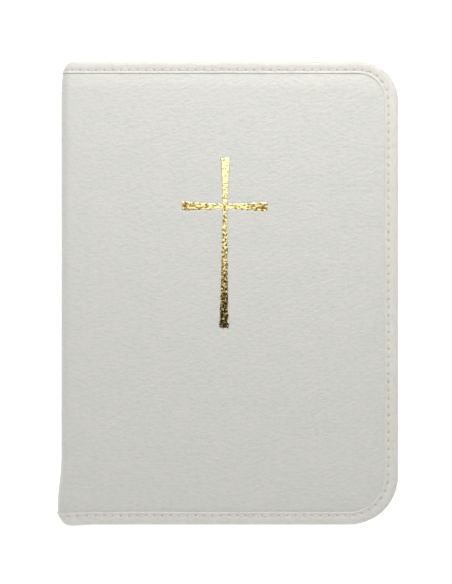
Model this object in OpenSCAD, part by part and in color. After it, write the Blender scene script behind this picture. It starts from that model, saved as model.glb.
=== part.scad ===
// Zip-round prayer book: a padded leather case with a stitched edge binding, a coil zip
// on its three open edges, and a sewn text block inside.
// The closed book lies on its back cover: +X runs from the spine to the fore-edge,
// +Y from tail to head, +Z from the back cover to the front cover. Millimetres.

/* [Case] */
// Width of the closed case, spine to fore-edge
case_w = 116.5; // [112:0.5:125]
// Height of the case, tail to head
case_h = 160; // [150:1:175]
// Thickness of the closed case
case_t = 30; // [28:0.5:34]
// Radius of the case's corner at the head
head_corner_r = 14; // [12:0.5:15]
// Radius of the case's corner at the tail
tail_corner_r = 17.5; // [16:0.5:20]
// Radius of the leather where it turns round the spine
spine_edge_r = 3; // [2.5:0.1:3.4]

/* [Cover layers] */
// Thickness of the outer leather
leather_t = 0.8; // [0.6:0.1:1]
// Thickness of the foam under the leather
foam_t = 1.2; // [0.8:0.1:1.6]
// Thickness of the cover board
board_t = 1.2; // [1:0.1:1.4]
// Thickness of the inner lining
lining_t = 0.4; // [0.3:0.1:0.5]
// Width of the zone where the padded face rolls down to the rim
roll_w = 10; // [8:0.5:11]
// How far the rim lies below the padded face
rim_drop = 0.3; // [0.2:0.1:1.4]

/* [Edge binding] */
// Width of the binding strip
binding_w = 4.8; // [4.5:0.1:5.2]
// Thickness of the binding strip
binding_t = 0.6; // [0.5:0.1:0.7]
// Distance of the stitch line from the edge
stitch_inset = 3.5; // [3:0.1:4]
// Distance from one stitch to the next
stitch_pitch = 2.87; // [2.5:0.01:3.5]
// Length of one stitch
stitch_l = 1.9; // [1.5:0.1:2.2]

/* [Zip] */
// Distance of the zip tape from the edge
tape_inset = 4; // [3.8:0.1:4.2]
// Thickness of the zip tape
tape_t = 0.5; // [0.4:0.1:0.6]
// Height of one row of the coil
coil_h = 2.3; // [2:0.1:2.4]
// Depth of the coil
coil_d = 1.6; // [1.4:0.1:1.7]
// Length of the slider
slider_l = 10; // [9:0.5:12]
// Length of the pull tab
pull_l = 22; // [18:1:26]

/* [Text block] */
// Width of a leaf
page_w = 102; // [96:1:104]
// Height of a leaf
page_h = 142; // [136:1:146]
// Radius of a leaf's two corners at the fore-edge
page_corner_r = 6; // [4:0.5:8]
// Width of the ribbon marker
ribbon_w = 6; // [3:0.5:8]

/* [Gold cross] */
// Height of the stamped cross
cross_h = 59.5; // [50:0.5:65]
// Width of the stamped cross
cross_w = 29.8; // [24:0.2:34]

/* [Hidden] */
$fn = 64;
half_t = case_t / 2;
x_spine = -case_w / 2;
x_fore = case_w / 2;
y_head = case_h / 2;
y_tail = -case_h / 2;
seam = 0.3;                        // overlap that joins two volumes of one piece
thread_t = 0.2;                    // how far the stitches stand out of the binding

bend_x = x_spine + spine_edge_r;   // where the leather leaves the bend

// Levels of the front cover's layers; the back cover mirrors them
z_leather = case_t - leather_t;
z_foam = z_leather - foam_t;
z_board = z_foam - board_t;
z_lining = z_board - lining_t;
z_rim = case_t - rim_drop;         // top of the binding
z_flange = z_rim - binding_t - leather_t - tape_t;
roll_drop = rim_drop + binding_t;  // how far the leather rolls down to pass under the binding
roll_power = 2.2;
roll_steps = 8;
board_inset = 6.2;
lining_inset = tape_inset + tape_t + 0.1;
card_t = 0.7;                      // the spine's stiffener
spine_layers_t = leather_t + card_t + lining_t;

// Text block: end leaves, then three bundles of sections in each half of the book
endleaf_t = 0.15;
z_block = z_lining - 2 * endleaf_t;
mid_gap = 0.25;                    // half the room for the ribbon and the loose leaves
bundle_gap = 0.02;                 // room between two bundles, so that they slide
bundle_t = (z_block - half_t - mid_gap) / 3;
cloth_t = 0.3;
back_depth = z_block - half_t;
back_round = 1.65;                 // sagitta of the rounded back
back_r = (back_depth * back_depth + back_round * back_round) / (2 * back_round);
x_back = x_spine + spine_layers_t + 0.6 + cloth_t;
band_t = 1.4;
band_l = 1.5;
leaf_t = 0.1;
leaf_hinge_x = x_back + 0.4;

// Zip: the rows meet at half height
row_gap = 0.8;
tape_gap = 1;
tape_start = 3.1;
slider_x = x_spine + 12.25;
slider_h = 8;
plate_t = 0.8;
pull_w = 7;
pull_t = 0.8;
bar_r = 0.42;

// ---------- shared shapes ----------

// Turns a front-cover piece into the back-cover piece
module to_back() {
    translate([0, 0, case_t]) mirror([0, 0, 1]) children();
}

// Draws a profile of x and z, and gives it the length from y0 to y1
module along_y(y0, y1) {
    translate([0, y1, 0]) rotate([90, 0, 0]) linear_extrude(y1 - y0) children();
}

// Flat outline of a cover panel, from x_from to the fore-edge, taken in by inset all round
module panel_outline(inset, x_from) {
    right = x_fore - inset;
    top = y_head - inset;
    bottom = y_tail + inset;
    x_tail = x_fore - tail_corner_r;
    x_head = x_fore - head_corner_r;
    y_low = y_tail + tail_corner_r;
    y_high = y_head - head_corner_r;
    translate([x_from, bottom]) square([x_tail - x_from, top - bottom]);
    translate([x_tail, y_low]) square([x_head - x_tail, top - y_low]);
    translate([x_head, y_low]) square([right - x_head, y_high - y_low]);
    translate([x_tail, y_low]) circle(tail_corner_r - inset);
    translate([x_head, y_high]) circle(head_corner_r - inset);
}

// Sweeps a profile round the head, fore-edge and tail. The profile's x is the distance
// from the case's edge, negative inside it, and its y is the height.
module rim_sweep(x_head_start, x_tail_start) {
    x_tail = x_fore - tail_corner_r;
    x_head = x_fore - head_corner_r;
    y_low = y_tail + tail_corner_r;
    y_high = y_head - head_corner_r;
    translate([x_head_start, y_head, 0]) rotate([90, 0, 90])
        linear_extrude(x_head - x_head_start) children();
    translate([x_head, y_high, 0]) rotate_extrude(angle = 90)
        translate([head_corner_r, 0]) children();
    translate([x_fore, y_high, 0]) rotate([90, 0, 0])
        linear_extrude(y_high - y_low) children();
    translate([x_tail, y_low, 0]) rotate([0, 0, -90]) rotate_extrude(angle = 90)
        translate([tail_corner_r, 0]) children();
    translate([x_tail, y_tail, 0]) rotate([90, 0, -90])
        linear_extrude(x_tail - x_tail_start) children();
}

// Lays copies of a small piece at even steps round the same rim, inset from the edge
module rim_row(inset, pitch) {
    x_tail = x_fore - tail_corner_r;
    x_head = x_fore - head_corner_r;
    y_low = y_tail + tail_corner_r;
    y_high = y_head - head_corner_r;
    tail_n = floor((x_tail - bend_x) / pitch);
    fore_n = floor((y_high - y_low) / pitch);
    head_n = floor((x_head - bend_x) / pitch);
    tail_turns = max(1, round((tail_corner_r - inset) * PI / 2 / pitch));
    head_turns = max(1, round((head_corner_r - inset) * PI / 2 / pitch));
    for (i = [0 : tail_n - 1])
        translate([x_tail - (i + 0.5) * pitch, y_tail + inset, 0]) children();
    for (i = [0 : head_n - 1])
        translate([x_head - (i + 0.5) * pitch, y_head - inset, 0]) children();
    for (i = [0 : fore_n - 1])
        translate([x_fore - inset, y_low + (i + 0.5) * pitch, 0]) rotate([0, 0, 90]) children();
    for (i = [0 : tail_turns - 1])
        translate([x_tail, y_low, 0]) rotate([0, 0, -90 + (i + 0.5) * 90 / tail_turns])
            translate([tail_corner_r - inset, 0, 0]) rotate([0, 0, 90]) children();
    for (i = [0 : head_turns - 1])
        translate([x_head, y_high, 0]) rotate([0, 0, (i + 0.5) * 90 / head_turns])
            translate([head_corner_r - inset, 0, 0]) rotate([0, 0, 90]) children();
}

// Height of the padded face, u of the way across its roll (0 on the flat, 1 at the binding)
function roll_z(u) = -roll_drop * pow(u, roll_power);

// Points across the roll, from the flat to the distance stop from the edge, lowered by z
function roll_points(stop, z) = [
    for (i = [0 : roll_steps])
        let (p = -roll_w + i / roll_steps * (roll_w - stop),
             u = min(1, (p + roll_w) / (roll_w - binding_w)))
        [p, z + roll_z(u)]
];

function reversed(v) = [for (i = [len(v) - 1 : -1 : 0]) v[i]];

// Points of an arc, centre c, from angle a to angle b
function arc_points(c, r, a, b, n) = [
    for (i = [0 : n]) c + r * [cos(a + (b - a) * i / n), sin(a + (b - a) * i / n)]
];

// Leather strip half-way round the spine's edge, between two angles, in x and z
module bend_profile(a, b, centre_z) {
    centre = [bend_x, centre_z];
    reach = 2 * spine_edge_r;
    intersection() {
        translate(centre) difference() {
            circle(spine_edge_r);
            circle(spine_edge_r - leather_t);
        }
        polygon([centre, centre + reach * [cos(a), sin(a)],
                 centre + reach * [cos((a + b) / 2), sin((a + b) / 2)] * 1.2,
                 centre + reach * [cos(b), sin(b)]]);
    }
}

// ---------- cover layers, drawn for the front cover ----------

module cover_leather() {
    plain_y = y_head - binding_w;
    translate([0, 0, z_leather]) linear_extrude(leather_t) panel_outline(roll_w, bend_x);
    rim_sweep(bend_x, bend_x) polygon(concat(
        [[-roll_w - seam, z_leather], [-roll_w - seam, case_t]],
        roll_points(binding_w, case_t),
        [[-binding_t, case_t - roll_drop], [-binding_t, z_leather - roll_drop]],
        reversed(roll_points(binding_w, z_leather))));
    along_y(-plain_y, plain_y) {
        bend_profile(90, 135, case_t - spine_edge_r);
        translate([bend_x, z_leather]) square([seam, leather_t]);
    }
}

module cover_foam() {
    start = bend_x + 4;
    translate([0, 0, z_foam]) linear_extrude(foam_t) panel_outline(roll_w, start);
    rim_sweep(start, start) polygon(concat(
        [[-roll_w - seam, z_foam], [-roll_w - seam, z_leather]],
        [for (p = roll_points(board_inset, z_leather)) [p.x, max(p.y, z_foam + 0.1)]],
        [[-board_inset, z_foam]]));
}

module cover_board() {
    translate([0, 0, z_board]) linear_extrude(board_t) panel_outline(board_inset, bend_x + 4);
}

module cover_lining() {
    translate([0, 0, z_lining]) linear_extrude(lining_t)
        panel_outline(lining_inset, x_spine + spine_layers_t + 0.7);
}

// A strip folded over the raw edge: wide outside, narrow inside
module cover_binding() {
    r = 1;
    low = z_flange - binding_t;
    under = tape_inset - 0.1;
    rim_sweep(bend_x, bend_x) polygon(concat(
        [[-binding_w, z_rim - binding_t], [-binding_w, z_rim - 0.15], [-binding_w + 0.2, z_rim]],
        arc_points([-r, z_rim - r], r, 90, 0, 6),
        arc_points([-r, low + r], r, 0, -90, 6),
        [[-under, low], [-under, z_flange], [-binding_t, z_flange],
         [-binding_t, z_rim - binding_t]]));
}

// One stitch: a short thread lying on the strip
module stitch() {
    translate([-stitch_l / 2, -0.25, 0]) cube([stitch_l, 0.5, thread_t]);
}

module cover_stitching() {
    translate([0, 0, z_rim]) rim_row(stitch_inset, stitch_pitch) stitch();
}

// The tape is sewn between leather and lining, and turns down towards the coil
module cover_zip_tape() {
    wall = tape_inset + tape_t;
    edge = half_t + tape_gap / 2;
    rim_sweep(x_spine + tape_start, x_spine + tape_start) {
        translate([-board_inset + 0.2, z_flange])
            square([board_inset - 0.2 - binding_t, tape_t]);
        translate([-wall, edge]) square([tape_t, z_flange - edge + seam]);
    }
}

module cover_zip_coil() {
    r = 0.7;
    left = -tape_inset;
    right = -tape_inset + coil_d;
    bottom = half_t + row_gap / 2;
    rim_sweep(x_spine + 8.2, x_spine + 6) polygon(concat(
        [[left, bottom], [left, bottom + coil_h]],
        arc_points([right - r, bottom + coil_h - r], r, 90, 0, 4),
        arc_points([right - r, bottom + r], r, 0, -90, 4)));
}

// Metal clip that ends one row of the coil at the tail
module cover_top_stop() {
    translate([x_spine + 3.8, y_tail + tape_inset - coil_d, half_t + row_gap / 2])
        cube([1.8, coil_d, coil_h + 0.3]);
}

// ---------- text block, drawn for the front half ----------

module page_outline(x_from) {
    right = x_from + page_w;
    r = page_corner_r;
    translate([x_from, -page_h / 2]) square([page_w - r, page_h]);
    translate([right - r, r - page_h / 2]) square([r, page_h - 2 * r]);
    for (s = [-1, 1])
        translate([right - r, s * (page_h / 2 - r)]) circle(r);
}

// How far the rounded back falls away at the height d above half height
function back_fall(d) = back_r - sqrt(back_r * back_r - d * d);

// A bundle of folded sections, counted from the middle of the book
module bundle(i) {
    low = half_t + mid_gap + i * bundle_t;
    translate([0, 0, low]) linear_extrude(bundle_t - bundle_gap)
        page_outline(x_back + back_fall(low + bundle_t - half_t));
}

module end_leaf(level) {
    translate([0, 0, level]) linear_extrude(endleaf_t) page_outline(x_back + back_round + 0.2);
}

// A curved strip on the rounded back, of one half of the book, in x and z
module back_strip(thickness) {
    centre = [x_back + back_r, half_t];
    intersection() {
        translate(centre) difference() {
            circle(back_r + thickness, $fn = 256);
            circle(back_r, $fn = 256);
        }
        translate([x_back - 5, half_t + 0.1]) square([10, back_depth - 0.2]);
    }
}

module spine_cloth_half() {
    along_y(-page_h / 2 + 2, page_h / 2 - 2) back_strip(cloth_t);
}

// A rolled band in front of the sections' ends, at the head (side 1) or the tail (side -1)
module band_half(side) {
    start = side > 0 ? page_h / 2 : -page_h / 2 - band_l;
    along_y(start, start + band_l) translate([band_t, 0]) back_strip(band_t);
}

module ribbon_marker() {
    right = x_back + 22;
    tip = y_tail + 6;
    color("gold") translate([0, 0, half_t - mid_gap]) linear_extrude(mid_gap) polygon([
        [right - ribbon_w, page_h / 2 + 1], [right, page_h / 2 + 1],
        [right, tip + ribbon_w / 2], [right - ribbon_w, tip]]);
}

module loose_leaf(level) {
    color("ivory") translate([0, 0, level]) linear_extrude(leaf_t) intersection() {
        page_outline(x_back);
        translate([leaf_hinge_x, -page_h]) square([2 * page_w, 2 * page_h]);
    }
}

// ---------- spine of the case ----------

module spine_leather() {
    plain_y = y_head - binding_w;
    skive = binding_t;
    color("whitesmoke") {
        along_y(-plain_y, plain_y) {
            bend_profile(135, 180, case_t - spine_edge_r);
            bend_profile(180, 225, spine_edge_r);
            translate([x_spine, spine_edge_r])
                square([leather_t, case_t - 2 * spine_edge_r]);
        }
        for (s = [-1, 1])
            along_y(s > 0 ? plain_y - seam : y_tail + binding_t,
                    s > 0 ? y_head - binding_t : seam - plain_y)
                translate([x_spine + skive, spine_edge_r])
                    square([leather_t, case_t - 2 * spine_edge_r]);
    }
}

module spine_card() {
    length = y_head - binding_w - 1;
    color("tan") along_y(-length, length)
        translate([x_spine + leather_t, spine_edge_r + 0.5])
            square([card_t, case_t - 2 * spine_edge_r - 1]);
}

module spine_lining() {
    length = y_head - binding_t;
    margin = case_t - z_lining + 0.6;
    color("ivory") along_y(-length, length)
        translate([x_spine + leather_t + card_t, margin]) square([lining_t, case_t - 2 * margin]);
}

// The binding strip crosses the end of the spine, drawn at the head
module spine_binding() {
    inner = x_spine + spine_layers_t;
    color("ivory") translate([0, 0, spine_edge_r]) linear_extrude(case_t - 2 * spine_edge_r) {
        translate([x_spine + thread_t, y_head - binding_w])
            square([binding_t - thread_t, binding_w]);
        translate([x_spine + thread_t, y_head - binding_t])
            square([spine_layers_t + binding_t - thread_t, binding_t]);
        translate([inner, y_head - binding_w]) square([binding_t, binding_w]);
    }
}

module spine_stitching() {
    span = case_t - 2 * spine_edge_r;
    n = floor(span / stitch_pitch);
    color("white") for (s = [-1, 1], i = [0 : n - 1])
        translate([x_spine + thread_t, s * (y_head - stitch_inset),
                   half_t + (i - (n - 1) / 2) * stitch_pitch])
            rotate([0, -90, 0]) stitch();
}

// ---------- zip hardware ----------

module zip_bottom_stop() {
    color("silver") translate([x_spine + 5.2, y_head - tape_inset, half_t - 3])
        cube([2.8, coil_d + 0.2, 6]);
}

// Two plates, the post between them, and the lips that hold the coil
module slider_body() {
    left = slider_x - slider_l / 2;
    outer_y = y_tail + tape_inset - coil_d - 0.15 - plate_t;
    inner_y = y_tail + tape_inset + tape_t + 0.25;
    low = half_t - slider_h / 2;
    lip_t = 0.7;
    color("gainsboro") {
        for (y = [outer_y, inner_y])
            translate([0, y + plate_t, 0]) rotate([90, 0, 0]) linear_extrude(plate_t) polygon([
                [left, low], [left + 2, low], [left + slider_l, low + 0.9],
                [left + slider_l, low + slider_h - 0.9], [left + 2, low + slider_h],
                [left, low + slider_h]]);
        for (z = [low, low + slider_h - lip_t])
            translate([left, outer_y + plate_t - 0.1, z]) cube([3, coil_d + 0.1, lip_t]);
        translate([left, outer_y + 0.1, half_t - 0.3])
            cube([1.4, inner_y - outer_y, 0.6]);
    }
}

// The small bridge that holds the pull's bar on the slider
module slider_bail() {
    base_y = y_tail + tape_inset - coil_d - 0.15 - plate_t;
    color("silver") translate([slider_x, base_y, half_t]) difference() {
        translate([-2, -1.35, -0.6]) cube([4, 1.35, 1.2]);
        translate([-1.1, -0.95, -1]) cube([2.2, 0.95 + 0.2, 2]);
    }
}

// Pull tab, lying along the closed zip. Its bar turns under the bail.
module zip_pull() {
    bar_y = y_tail + tape_inset - coil_d - 0.15 - plate_t - 0.5;
    color("silver") translate([slider_x, bar_y, half_t]) {
        difference() {
            rotate([90, 0, 0]) translate([0, 0, -pull_t / 2]) linear_extrude(pull_t)
                difference() {
                    union() {
                        translate([0, -2.2]) square([6, 4.4]);
                        translate([5.5, -pull_w / 2]) square([pull_l - 5.5 - pull_w / 2, pull_w]);
                        translate([pull_l - pull_w / 2, 0]) circle(d = pull_w);
                    }
                    translate([0, -1.1]) square([3.3, 2.2]);
                    translate([pull_l - pull_w / 2, 0]) circle(d = 2.6);
                }
            translate([-1, -1, -1.1]) cube([1, 2, 2.2]);
        }
        translate([0, 0, -2.2]) cylinder(r = bar_r, h = 4.4);
    }
}

// ---------- the stamped cross ----------

// One arm of the cross, from its root towards +Y, narrow at the root and flared at the end
module cross_arm(length, root, tip, steps = 8) {
    right = [for (i = [0 : steps])
        let (t = i / steps) [root / 2 + (tip - root) / 2 * pow(t, 1.3), t * length]];
    polygon(concat(right, [for (p = reversed(right)) [-p.x, p.y]]));
}

module cross_outline() {
    above = cross_h * 0.291;
    translate([-1.56, 29.8]) rotate([0, 0, -0.5]) {
        cross_arm(above, 1.6, 3.4);
        rotate([0, 0, 180]) cross_arm(cross_h - above, 1.6, 3.2);
        rotate([0, 0, 90]) cross_arm(cross_w / 2, 1.7, 3.4);
        rotate([0, 0, -90]) cross_arm(cross_w / 2, 1.7, 3.4);
        square(1.7, center = true);
    }
}

module gold_cross() {
    color("gold") translate([0, 0, case_t - 0.15]) linear_extrude(0.1) cross_outline();
}

module front_leather() {
    color("whitesmoke") difference() {
        cover_leather();
        translate([0, 0, case_t - 0.15]) linear_extrude(1) cross_outline();
    }
}

// ---------- nodes ----------

front_leather();
gold_cross();
color("khaki") cover_foam();  // front_foam
color("tan") cover_board();  // front_board
color("ivory") cover_lining();  // front_lining
color("ivory") cover_binding();  // front_binding
color("white") cover_stitching();  // front_stitching
color("white") cover_zip_tape();  // front_zip_tape
color("whitesmoke") cover_zip_coil();  // front_zip_coil
color("silver") cover_top_stop();  // front_top_stop
color("ivory") end_leaf(z_lining - endleaf_t);  // front_pastedown
color("ivory") end_leaf(z_block);  // front_flyleaf
color("gold") bundle(2);  // front_sections_outer
color("gold") bundle(1);  // front_sections_middle
color("gold") bundle(0);  // front_sections_inner
color("white") spine_cloth_half();  // spine_cloth_front
color("gold") band_half(1);  // head_band_front
color("gold") band_half(-1);  // tail_band_front

color("whitesmoke") to_back() cover_leather();  // back_leather
color("khaki") to_back() cover_foam();  // back_foam
color("tan") to_back() cover_board();  // back_board
color("ivory") to_back() cover_lining();  // back_lining
color("ivory") to_back() cover_binding();  // back_binding
color("white") to_back() cover_stitching();  // back_stitching
color("white") to_back() cover_zip_tape();  // back_zip_tape
color("whitesmoke") to_back() cover_zip_coil();  // back_zip_coil
color("silver") to_back() cover_top_stop();  // back_top_stop
color("ivory") to_back() end_leaf(z_lining - endleaf_t);  // back_pastedown
color("ivory") to_back() end_leaf(z_block);  // back_flyleaf
color("gold") to_back() bundle(2);  // back_sections_outer
color("gold") to_back() bundle(1);  // back_sections_middle
color("gold") to_back() bundle(0);  // back_sections_inner
color("white") to_back() spine_cloth_half();  // spine_cloth_back
color("gold") to_back() band_half(1);  // head_band_back
color("gold") to_back() band_half(-1);  // tail_band_back

spine_leather();
spine_card();
spine_lining();
spine_binding();  // spine_head_binding
mirror([0, 1, 0]) spine_binding();  // spine_tail_binding
spine_stitching();
ribbon_marker();
loose_leaf(half_t);  // loose_leaf_right
loose_leaf(half_t + leaf_t);  // loose_leaf_left
zip_bottom_stop();
slider_body();
slider_bail();
zip_pull();
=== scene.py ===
"""Looks for the zip-round prayer book: its padded case, sewn binding, zip, text block and studio.

Each cover's leather, lining and binding are drawn on one flat panel, and laid() bends that panel round
the spine. On the panel, a runs across from the middle of the spine to the fore-edge, y runs from tail
to head, and h stands out of the case. The panel is the front cover's; the back cover mirrors it.
"""
import math

import bmesh
import bpy
import numpy as np
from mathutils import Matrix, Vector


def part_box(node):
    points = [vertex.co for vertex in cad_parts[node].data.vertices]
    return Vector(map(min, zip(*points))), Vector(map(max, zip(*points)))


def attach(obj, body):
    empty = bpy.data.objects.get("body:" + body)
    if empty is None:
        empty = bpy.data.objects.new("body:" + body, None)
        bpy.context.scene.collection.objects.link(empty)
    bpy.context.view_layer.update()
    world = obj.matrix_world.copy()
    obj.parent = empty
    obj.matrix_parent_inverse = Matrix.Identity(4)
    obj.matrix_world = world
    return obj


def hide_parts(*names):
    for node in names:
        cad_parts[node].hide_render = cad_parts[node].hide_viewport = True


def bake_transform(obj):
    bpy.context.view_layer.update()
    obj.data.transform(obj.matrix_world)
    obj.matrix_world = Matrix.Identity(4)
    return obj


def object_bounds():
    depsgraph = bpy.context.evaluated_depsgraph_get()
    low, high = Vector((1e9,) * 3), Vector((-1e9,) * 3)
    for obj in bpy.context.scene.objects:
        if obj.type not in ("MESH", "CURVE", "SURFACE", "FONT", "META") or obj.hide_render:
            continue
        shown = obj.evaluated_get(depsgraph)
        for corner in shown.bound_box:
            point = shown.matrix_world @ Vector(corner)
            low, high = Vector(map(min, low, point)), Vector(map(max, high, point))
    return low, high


MM = 0.001
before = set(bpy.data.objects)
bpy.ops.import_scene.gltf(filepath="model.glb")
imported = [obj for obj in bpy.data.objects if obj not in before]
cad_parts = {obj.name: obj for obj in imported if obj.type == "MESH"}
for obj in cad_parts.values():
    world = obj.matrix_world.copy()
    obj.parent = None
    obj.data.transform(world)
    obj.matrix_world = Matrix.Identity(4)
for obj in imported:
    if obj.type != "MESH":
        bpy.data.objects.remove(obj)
cad_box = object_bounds()


# ---------- sizes, from the frame ----------

low_corner, high_corner = cad_box
X_SPINE, X_FORE = low_corner.x, high_corner.x
Y_TAIL, Y_HEAD = low_corner.y, high_corner.y
THICK = high_corner.z
HALF = THICK / 2
BEND_R = 3 * MM                       # outer radius of the leather round the spine's edges
HEAD_R, TAIL_R = 14 * MM, 17.5 * MM   # the case's corners at the fore-edge
RIM_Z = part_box("front_binding")[1].z  # top of the binding
RIM_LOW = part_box("front_binding")[0].z
BINDING_W = 4.8 * MM
ROLL_W = 10 * MM                      # where the padded face begins to roll down
STITCH_INSET = 3.5 * MM
STITCH_STEP = 2.87 * MM

SPINE_FLAT = HALF - BEND_R            # from mid-spine to the bend
A_FACE = SPINE_FLAT + BEND_R * math.pi / 2
X_TO_A = A_FACE - X_SPINE - BEND_R    # on the cover, a = x + X_TO_A
A_EDGE = X_FORE + X_TO_A
LEATHER_T = 0.75 * MM
STRIP_T = 0.24 * MM                   # the strip's cut edge, which stands on the padded leather
RIM_SPINE, RIM_FORE, RIM_HEAD = -0.2 * MM, 0.08 * MM, -0.36 * MM   # the strip's top, above the case
PANEL_MARGIN = 2.2 * MM               # the leather ends this far from the edge, in the binding
HEAD_HUG, TAIL_HUG = 0.55 * MM, 0.35 * MM   # the strip is narrower at the head and the tail

FLARE = 1.75 * MM                     # the spine bulges towards its tail
FLARE_FROM, FLARE_TO = -56 * MM, -78 * MM
TUCK_HEAD, TUCK_TAIL = 2.0 * MM, 2.7 * MM   # the strip's edge is drawn in at the spine's ends
TAIL_SAG = 0.45 * MM                  # and hangs a little lower at the tail
CORNERS = ((HEAD_R, 1), (TAIL_R, -1))       # each rounded corner's radius, and its side in y


# ---------- small tools ----------

def smooth(lo, hi, v):
    t = np.clip((v - lo) / (hi - lo), 0, 1)
    return t * t * (3 - 2 * t)


def lattice(ix, iy, seed):
    """A repeatable value from 0 to 1 for each pair of whole numbers."""
    with np.errstate(over="ignore"):
        n = ix.astype(np.uint32) * np.uint32(374761393) + iy.astype(np.uint32) * np.uint32(668265263)
        n = (n + np.uint32(seed * 974711)) * np.uint32(2654435761)
        n ^= n >> np.uint32(15)
        n *= np.uint32(2246822519)
        n ^= n >> np.uint32(13)
    return n.astype(np.float64) / 4294967295.0


def waves(x, y, seed, octaves=2):
    """Smooth noise from about -1 to 1. x and y are in cells."""
    total, size, top = 0.0, 1.0, 0.0
    x, y = np.asarray(x, float), np.asarray(y, float)
    for k in range(octaves):
        px, py = x * 2 ** k + 1000.5 * (k + 1), y * 2 ** k + 700.5 * (k + 1)
        ix, iy = np.floor(px).astype(np.int64), np.floor(py).astype(np.int64)
        fx, fy = px - ix, py - iy
        fx, fy = fx * fx * (3 - 2 * fx), fy * fy * (3 - 2 * fy)
        row = [lattice(ix + i, iy + j, seed + k) for j in (0, 1) for i in (0, 1)]
        value = (row[0] * (1 - fx) + row[1] * fx) * (1 - fy) + (row[2] * (1 - fx) + row[3] * fx) * fy
        total = total + (2 * value - 1) * size
        top += size
        size *= 0.5
    return total / top


def make_object(name, verts, faces, uvs=None, shade=True, masks=None):
    mesh = bpy.data.meshes.new(name)
    mesh.from_pydata([tuple(v) for v in np.asarray(verts, float)], [], [tuple(f) for f in faces])
    if uvs is not None:
        layer = mesh.uv_layers.new(name="panel")
        loops = np.zeros(len(mesh.loops), np.int32)
        mesh.loops.foreach_get("vertex_index", loops)
        layer.data.foreach_set("uv", np.asarray(uvs, np.float32)[loops].ravel())
    for mask, values in (masks or {}).items():
        layer = mesh.attributes.new(mask, "FLOAT", "POINT")
        layer.data.foreach_set("value", np.asarray(values, np.float32))
    if shade:
        mesh.polygons.foreach_set("use_smooth", np.ones(len(mesh.polygons), bool))
    mesh.update()
    made = bpy.data.objects.new(name, mesh)
    bpy.context.scene.collection.objects.link(made)
    return made


def grid_faces(rows, columns, start=0, wrap=False):
    """Quads of a grid whose vertices are numbered row by row. wrap closes each row on itself."""
    faces = []
    across = columns if wrap else columns - 1
    for r in range(rows - 1):
        for c in range(across):
            d = (c + 1) % columns
            a, b = start + r * columns + c, start + r * columns + d
            faces.append((a, b, b + columns, a + columns))
    return faces


def closed_object(*arguments, **settings):
    """make_object for a closed mesh, with every face turned outwards."""
    made = make_object(*arguments, **settings)
    bm = bmesh.new()
    bm.from_mesh(made.data)
    bmesh.ops.recalc_face_normals(bm, faces=bm.faces)
    bm.to_mesh(made.data)
    bm.free()
    return made


def closed_sheet(name, upper, lower, uvs):
    """A thin closed sheet between two grids of points. Both sides share the uvs."""
    rows, columns = upper.shape[:2]
    n = rows * columns
    faces = grid_faces(rows, columns) + [face[::-1] for face in grid_faces(rows, columns, n)]
    border = (list(range(columns)) + [r * columns + columns - 1 for r in range(1, rows)]
              + [(rows - 1) * columns + c for c in range(columns - 2, -1, -1)]
              + [r * columns for r in range(rows - 2, 0, -1)])
    for i, p in enumerate(border):
        q = border[(i + 1) % len(border)]
        faces.append((q, p, p + n, q + n))
    verts = np.concatenate([upper.reshape(-1, 3), lower.reshape(-1, 3)])
    return closed_object(name, verts, faces, np.tile(uvs.reshape(-1, 2), (2, 1)))


def end_caps(rings, sides):
    """The two faces that close a tube of so many rings."""
    return [tuple(range(sides - 1, -1, -1)), tuple((rings - 1) * sides + i for i in range(sides))]


def cord_piece(name, line, guide, radius, sides, run, placed=None):
    """A closed cord along a line. guide is never along it, and run is the way gone at each point.

    placed takes the cord's points to where they lie."""
    ahead = np.gradient(line, axis=0)
    ahead /= np.linalg.norm(ahead, axis=1)[:, None]
    side = np.cross(ahead, guide)
    side /= np.linalg.norm(side, axis=1)[:, None]
    up = np.cross(side, ahead)
    around = np.linspace(0, 2 * math.pi, sides, endpoint=False)
    points = line[:, None, :] + radius * (np.cos(around)[None, :, None] * side[:, None, :]
                                          + np.sin(around)[None, :, None] * up[:, None, :])
    points = points.reshape(-1, 3)
    faces = grid_faces(len(line), sides, wrap=True) + end_caps(len(line), sides)
    uvs = np.stack([np.repeat(run, sides), np.tile(around, len(line)) * radius], -1)
    return closed_object(name, placed(points) if placed else points, faces, uvs)


def apply_modifiers(made):
    graph = bpy.context.evaluated_depsgraph_get()
    done = bpy.data.meshes.new_from_object(made.evaluated_get(graph))
    made.modifiers.clear()
    made.data = done
    return made


def add_modifier(made, kind, **settings):
    modifier = made.modifiers.new(kind.lower(), kind)
    for key, value in settings.items():
        setattr(modifier, key, value)
    return modifier


# ---------- the case's panel ----------

def cover_share(a):
    """0 on the spine and 1 on the padded cover."""
    return smooth(A_FACE - 2 * MM, A_FACE + 7 * MM, a)


def spine_share(a):
    """1 on the spine, falling to 0 a little way into the cover."""
    return 1 - smooth(A_FACE - 1 * MM, A_FACE + 9 * MM, a)


def hug(inset):
    """1 at the strip's inner edge, falling to 0 at the case's edge and further in."""
    return np.clip(inset / BINDING_W, 0, 1) * (1 - smooth(BINDING_W, 8 * BINDING_W, inset))


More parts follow.
